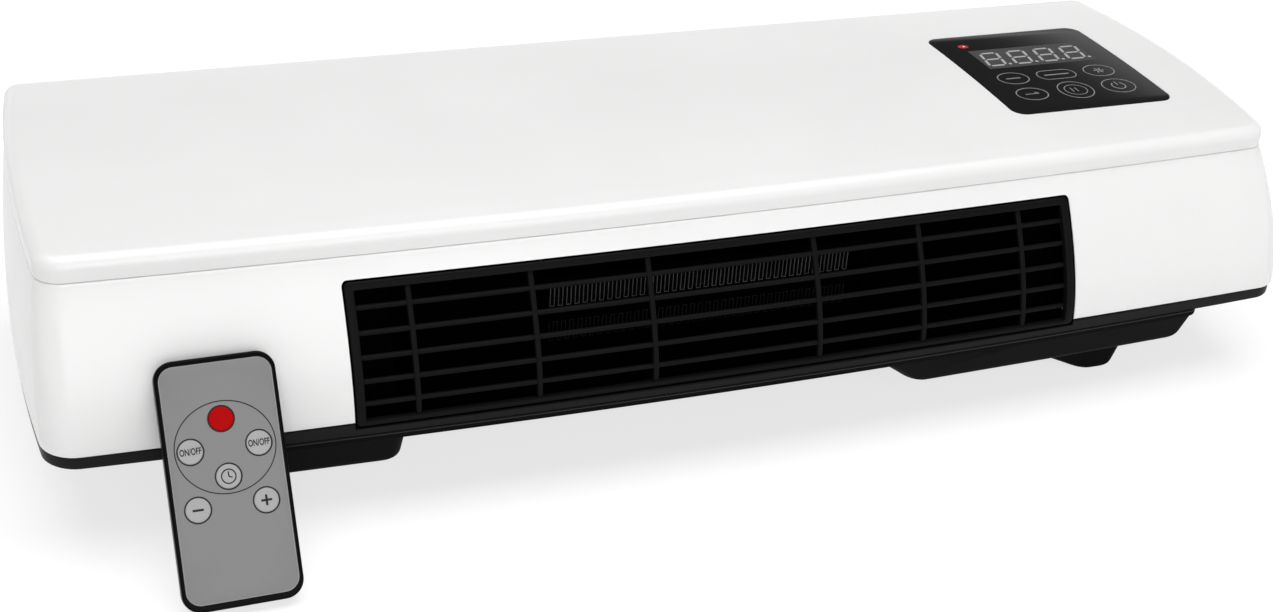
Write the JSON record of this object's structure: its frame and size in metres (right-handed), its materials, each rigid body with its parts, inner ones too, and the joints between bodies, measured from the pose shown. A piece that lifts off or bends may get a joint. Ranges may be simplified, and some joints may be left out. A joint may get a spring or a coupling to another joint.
{
  "type": "fan heater",
  "caption": "Low rounded fan heater case with a barred front outlet, a black touch window, wall keyholes in its rear feet and a card remote leaning on its front.",
  "frame": {"origin": "midway between the two wall-screw keyholes, on the plane of the wall that the feet rest on", "axes": "+X along the case towards the control window's end, -Y towards the air outlet, +Z out of the wall through the front panel"},
  "size_m": [0.476, 0.2058, 0.0986],
  "materials": {
    "white_shell": "smooth gloss",
    "black_case": "fine satin texture",
    "black_grille": "satin",
    "screw_steel": "zinc plated",
    "gland_rubber": "matt",
    "duct_plastic": "matt heat-proof plastic",
    "wheel_plastic": "satin",
    "shaft_steel": "ground",
    "bearing_bronze": "sintered",
    "motor_metal": "plated",
    "element_aluminium": "mill finish",
    "lead_silicone": "silicone sleeve",
    "board_green": "lacquered laminate",
    "relay_blue": "moulded case",
    "capacitor_yellow": "moulded case",
    "terminal_green": "moulded",
    "part_black": "moulded",
    "rocker_red": "moulded",
    "window_black": "polished gloss",
    "display_grey": "moulded",
    "spring_steel": "plated",
    "led_red": "clear lens",
    "ribbon_grey": "ribbon",
    "remote_black": "satin",
    "label_grey": "printed film",
    "remote_green": "lacquered laminate",
    "led_dark": "tinted lens",
    "key_red": "satin film",
    "key_grey": "satin film",
    "cell_steel": "plated"
  },
  "bodies": {
    "case": {"front_panel": "white_shell", "shell_skirt": "white_shell", "base_tray": "black_case", "rear_cover": "black_case", "front_feet": "black_case", "rear_feet": "black_case", "outlet_grille": "black_grille", "intake_grille": "black_grille", "case_screws": "screw_steel", "cover_screws": "screw_steel", "cord_gland": "gland_rubber", "bearing_rubber": "gland_rubber", "duct_floor": "duct_plastic", "duct_roof": "duct_plastic", "duct_end_left": "duct_plastic", "duct_end_right": "duct_plastic", "duct_baffle": "duct_plastic", "end_bearing": "bearing_bronze", "fan_motor": "motor_metal", "motor_bracket": "motor_metal", "thermal_cutout": "motor_metal", "thermal_fuse": "motor_metal", "element_terminals": "motor_metal", "element_frame": "element_aluminium", "element_fins": "element_aluminium", "element_bar": "element_aluminium", "heater_leads": "lead_silicone", "motor_leads": "lead_silicone", "power_board": "board_green", "display_board": "board_green", "relays": "relay_blue", "filter_capacitor": "capacitor_yellow", "terminal_block": "terminal_green", "buzzer": "part_black", "infrared_receiver": "part_black", "switch_body": "part_black", "control_window": "window_black", "number_display": "display_grey", "touch_springs": "spring_steel", "indicator_led": "led_red", "display_ribbon": "ribbon_grey"},
    "fan": {"fan_wheel": "wheel_plastic", "fan_shaft": "shaft_steel"},
    "rocker": {"switch_rocker": "rocker_red"},
    "remote": {"remote_front": "remote_black", "remote_back": "remote_black", "remote_label": "label_grey", "remote_board": "remote_green", "remote_led": "led_dark"},
    "key_power_button": {"key_power": "key_red"},
    "key_left_button": {"key_left": "key_grey"},
    "key_right_button": {"key_right": "key_grey"},
    "key_timer_button": {"key_timer": "key_grey"},
    "key_minus_button": {"key_minus": "key_grey"},
    "key_plus_button": {"key_plus": "key_grey"},
    "cell_tray": {"battery_tray": "remote_black", "coin_cell": "cell_steel"}
  },
  "joints": [
    {"name": "fan_spin", "type": "hinge", "parent": "case", "child": "fan", "pos_m": [0, -0.045, 0.064], "axis": [1, 0, 0], "continuous": true},
    {"name": "rocker_tip", "type": "hinge", "parent": "case", "child": "rocker", "pos_m": [0.23474, -0.075, 0.06], "axis": [0, 0, 1], "range_deg": [0, 16]},
    {"name": "remote_lift", "type": "slide", "parent": "case", "child": "remote", "axis": [0, 0, 1], "range_m": [0, 0.12]},
    {"name": "key_power_press", "type": "slide", "parent": "remote", "child": "key_power_button", "axis": [0, 0.831, -0.5563], "range_m": [0, 0.0004], "stiffness_N_per_m": 1000},
    {"name": "key_left_press", "type": "slide", "parent": "remote", "child": "key_left_button", "axis": [0, 0.831, -0.5563], "range_m": [0, 0.0004], "stiffness_N_per_m": 1000},
    {"name": "key_right_press", "type": "slide", "parent": "remote", "child": "key_right_button", "axis": [0, 0.831, -0.5563], "range_m": [0, 0.0004], "stiffness_N_per_m": 1000},
    {"name": "key_timer_press", "type": "slide", "parent": "remote", "child": "key_timer_button", "axis": [0, 0.831, -0.5563], "range_m": [0, 0.0004], "stiffness_N_per_m": 1000},
    {"name": "key_minus_press", "type": "slide", "parent": "remote", "child": "key_minus_button", "axis": [0, 0.831, -0.5563], "range_m": [0, 0.0004], "stiffness_N_per_m": 1000},
    {"name": "key_plus_press", "type": "slide", "parent": "remote", "child": "key_plus_button", "axis": [0, 0.831, -0.5563], "range_m": [0, 0.0004], "stiffness_N_per_m": 1000},
    {"name": "cell_tray_slide", "type": "slide", "parent": "remote", "child": "cell_tray", "axis": [0, -0.5563, -0.831], "range_m": [0, 0.03]}
  ]
}
